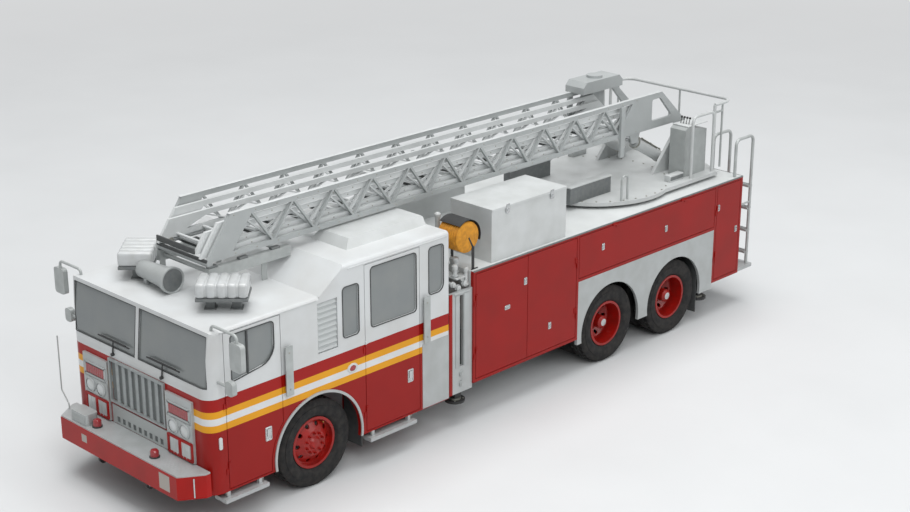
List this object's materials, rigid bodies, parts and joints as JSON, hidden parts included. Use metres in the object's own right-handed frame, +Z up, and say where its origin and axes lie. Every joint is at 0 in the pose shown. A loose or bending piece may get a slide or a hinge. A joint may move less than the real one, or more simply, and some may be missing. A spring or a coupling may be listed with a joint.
{
  "type": "fire engine",
  "caption": "Custom-cab fire engine with a rear-mounted extending aerial ladder on a turntable, opening cab and locker doors, and stabiliser jacks.",
  "frame": {"origin": "on the ground under the middle of the vehicle: half its overall length, on the centreline", "axes": "+Z up, +X to the vehicle's left, -Y forwards"},
  "size_m": [3.39, 10.05, 3.364],
  "materials": {
    "chassis_black": "satin black",
    "tyre_rubber": "matte",
    "wheel_red": "gloss",
    "window_glass": "clear grey tint",
    "cab_paint": "gloss red with a white top",
    "body_red": "gloss",
    "ladder_grey": "satin pale grey",
    "bright_steel": "brushed",
    "bumper_red": "gloss",
    "tread_aluminium": "raised tread pattern",
    "lamp_lens": "clear and red lenses",
    "rail_grey": "satin grey",
    "drum_orange": "satin orange",
    "flap_rubber": "matte",
    "seat_vinyl": "grained vinyl"
  },
  "bodies": {
    "chassis": {"chassis_frame": "chassis_black", "engine_block": "chassis_black", "front_axle": "chassis_black", "rear_axles": "chassis_black", "cab_shell": "cab_paint", "cab_glass": "window_glass", "cab_interior": "seat_vinyl", "front_bumper": "bumper_red", "tread_plates": "tread_aluminium", "grille": "bright_steel", "lamp_panels": "bright_steel", "lamps": "lamp_lens", "roof_lights": "lamp_lens", "equipment_boxes": "ladder_grey", "rails_and_mirrors": "rail_grey", "body_shell": "body_red", "side_panels": "tread_aluminium", "hose_drum": "drum_orange", "mudflaps": "flap_rubber"},
    "knuckle_left": {"knuckle_left": "chassis_black"},
    "front_wheel_left": {"front_wheel_left": "wheel_red", "front_tyre_left": "tyre_rubber"},
    "rear_wheel_1_left": {"rear_wheel_1_left": "wheel_red", "rear_tyres_1_left": "tyre_rubber"},
    "rear_wheel_2_left": {"rear_wheel_2_left": "wheel_red", "rear_tyres_2_left": "tyre_rubber"},
    "knuckle_right": {"knuckle_right": "chassis_black"},
    "front_wheel_right": {"front_wheel_right": "wheel_red", "front_tyre_right": "tyre_rubber"},
    "rear_wheel_1_right": {"rear_wheel_1_right": "wheel_red", "rear_tyres_1_right": "tyre_rubber"},
    "rear_wheel_2_right": {"rear_wheel_2_right": "wheel_red", "rear_tyres_2_right": "tyre_rubber"},
    "front_door_left": {"front_door_left": "cab_paint", "front_door_glass_left": "window_glass"},
    "crew_door_left": {"crew_door_left": "cab_paint", "crew_door_glass_left": "window_glass"},
    "locker_door_1_left": {"locker_door_1_left": "body_red"},
    "locker_door_2_left": {"locker_door_2_left": "body_red"},
    "locker_door_3_left": {"locker_door_3_left": "body_red"},
    "locker_door_4_left": {"locker_door_4_left": "body_red"},
    "jack_front_left": {"jack_front_left": "chassis_black"},
    "jack_rear_left": {"jack_rear_left": "chassis_black"},
    "front_door_right": {"front_door_right": "cab_paint", "front_door_glass_right": "window_glass"},
    "crew_door_right": {"crew_door_right": "cab_paint", "crew_door_glass_right": "window_glass"},
    "locker_door_1_right": {"locker_door_1_right": "body_red"},
    "locker_door_2_right": {"locker_door_2_right": "body_red"},
    "locker_door_3_right": {"locker_door_3_right": "body_red"},
    "locker_door_4_right": {"locker_door_4_right": "body_red"},
    "jack_front_right": {"jack_front_right": "chassis_black"},
    "jack_rear_right": {"jack_rear_right": "chassis_black"},
    "turntable": {"turntable": "ladder_grey", "console": "ladder_grey"},
    "ladder_base": {"ladder_base": "ladder_grey"},
    "ladder_mid": {"ladder_mid": "ladder_grey"},
    "ladder_fly": {"ladder_fly": "ladder_grey"},
    "lift_barrels": {"lift_barrels": "ladder_grey"},
    "lift_rods": {"lift_rods": "bright_steel"}
  },
  "joints": [
    {"name": "steer_left", "type": "hinge", "parent": "chassis", "child": "knuckle_left", "pos_m": [0.94, -3.192, 0.525], "axis": [0, 0, 1], "range_deg": [-35, 35]},
    {"name": "roll_front_left", "type": "hinge", "parent": "knuckle_left", "child": "front_wheel_left", "pos_m": [1.035, -3.192, 0.525], "axis": [1, 0, 0], "continuous": true},
    {"name": "roll_rear_1_left", "type": "hinge", "parent": "chassis", "child": "rear_wheel_1_left", "pos_m": [0.925, 1.842, 0.525], "axis": [1, 0, 0], "continuous": true},
    {"name": "roll_rear_2_left", "type": "hinge", "parent": "chassis", "child": "rear_wheel_2_left", "pos_m": [0.925, 3.202, 0.525], "axis": [1, 0, 0], "continuous": true},
    {"name": "steer_right", "type": "hinge", "parent": "chassis", "child": "knuckle_right", "pos_m": [-0.94, -3.192, 0.525], "axis": [0, 0, 1], "range_deg": [-35, 35]},
    {"name": "roll_front_right", "type": "hinge", "parent": "knuckle_right", "child": "front_wheel_right", "pos_m": [-1.035, -3.192, 0.525], "axis": [1, 0, 0], "continuous": true},
    {"name": "roll_rear_1_right", "type": "hinge", "parent": "chassis", "child": "rear_wheel_1_right", "pos_m": [-0.925, 1.842, 0.525], "axis": [1, 0, 0], "continuous": true},
    {"name": "roll_rear_2_right", "type": "hinge", "parent": "chassis", "child": "rear_wheel_2_right", "pos_m": [-0.925, 3.202, 0.525], "axis": [1, 0, 0], "continuous": true},
    {"name": "front_door_swing_left", "type": "hinge", "parent": "chassis", "child": "front_door_left", "pos_m": [1.258, -4.461, 0.45], "axis": [0, 0, -1], "range_deg": [0, 80]},
    {"name": "crew_door_swing_left", "type": "hinge", "parent": "chassis", "child": "crew_door_left", "pos_m": [1.258, -2.481, 0.45], "axis": [0, 0, -1], "range_deg": [0, 80]},
    {"name": "locker_swing_1_left", "type": "hinge", "parent": "chassis", "child": "locker_door_1_left", "pos_m": [1.278, -0.711, 0.51], "axis": [0, 0, -1], "range_deg": [0, 100]},
    {"name": "locker_swing_2_left", "type": "hinge", "parent": "chassis", "child": "locker_door_2_left", "pos_m": [1.278, 1.131, 0.51], "axis": [0, 0, 1], "range_deg": [0, 100]},
    {"name": "locker_lift_3_left", "type": "hinge", "parent": "chassis", "child": "locker_door_3_left", "pos_m": [1.278, 2.616, 1.906], "axis": [0, -1, 0], "range_deg": [0, 100]},
    {"name": "locker_swing_4_left", "type": "hinge", "parent": "chassis", "child": "locker_door_4_left", "pos_m": [1.278, 4.101, 0.51], "axis": [0, 0, -1], "range_deg": [0, 100]},
    {"name": "jack_front_lower_left", "type": "slide", "parent": "chassis", "child": "jack_front_left", "axis": [0, 0, -1], "range_m": [0, 0.3]},
    {"name": "jack_rear_lower_left", "type": "slide", "parent": "chassis", "child": "jack_rear_left", "axis": [0, 0, -1], "range_m": [0, 0.3]},
    {"name": "front_door_swing_right", "type": "hinge", "parent": "chassis", "child": "front_door_right", "pos_m": [-1.258, -4.461, 0.45], "axis": [0, 0, 1], "range_deg": [0, 80]},
    {"name": "crew_door_swing_right", "type": "hinge", "parent": "chassis", "child": "crew_door_right", "pos_m": [-1.258, -2.481, 0.45], "axis": [0, 0, 1], "range_deg": [0, 80]},
    {"name": "locker_swing_1_right", "type": "hinge", "parent": "chassis", "child": "locker_door_1_right", "pos_m": [-1.278, -0.711, 0.51], "axis": [0, 0, 1], "range_deg": [0, 100]},
    {"name": "locker_swing_2_right", "type": "hinge", "parent": "chassis", "child": "locker_door_2_right", "pos_m": [-1.278, 1.131, 0.51], "axis": [0, 0, -1], "range_deg": [0, 100]},
    {"name": "locker_lift_3_right", "type": "hinge", "parent": "chassis", "child": "locker_door_3_right", "pos_m": [-1.278, 2.616, 1.906], "axis": [0, 1, 0], "range_deg": [0, 100]},
    {"name": "locker_swing_4_right", "type": "hinge", "parent": "chassis", "child": "locker_door_4_right", "pos_m": [-1.278, 4.101, 0.51], "axis": [0, 0, 1], "range_deg": [0, 100]},
    {"name": "jack_front_lower_right", "type": "slide", "parent": "chassis", "child": "jack_front_right", "axis": [0, 0, -1], "range_m": [0, 0.3]},
    {"name": "jack_rear_lower_right", "type": "slide", "parent": "chassis", "child": "jack_rear_right", "axis": [0, 0, -1], "range_m": [0, 0.3]},
    {"name": "slew", "type": "hinge", "parent": "chassis", "child": "turntable", "pos_m": [0, 2.86, 1.99], "axis": [0, 0, 1], "continuous": true},
    {"name": "elevate", "type": "hinge", "parent": "turntable", "child": "ladder_base", "pos_m": [0, 4.305, 2.62], "axis": [-1, 0, 0], "range_deg": [0, 75]},
    {"name": "extend_mid", "type": "slide", "parent": "ladder_base", "child": "ladder_mid", "axis": [0, -1, 0], "range_m": [0, 5.3]},
    {"name": "extend_fly", "type": "slide", "parent": "ladder_mid", "child": "ladder_fly", "axis": [0, -1, 0], "range_m": [0, 5.3]},
    {"name": "lift_tilt", "type": "hinge", "parent": "turntable", "child": "lift_barrels", "pos_m": [0, 4.025, 2.15], "axis": [-1, 0, 0], "range_deg": [0, 59.7]},
    {"name": "lift_stroke", "type": "slide", "parent": "lift_barrels", "child": "lift_rods", "axis": [0, -0.8675, 0.4974], "range_m": [0, 0.595]}
  ],
  "couplings": [
    {"joint": "steer_right", "follows": "steer_left", "ratio": 1},
    {"joint": "extend_fly", "follows": "extend_mid", "ratio": 1},
    {"joint": "lift_tilt", "follows": "elevate", "ratio": 0.78906},
    {"joint": "lift_stroke", "follows": "elevate", "m_per_rad": 0.45092}
  ]
}
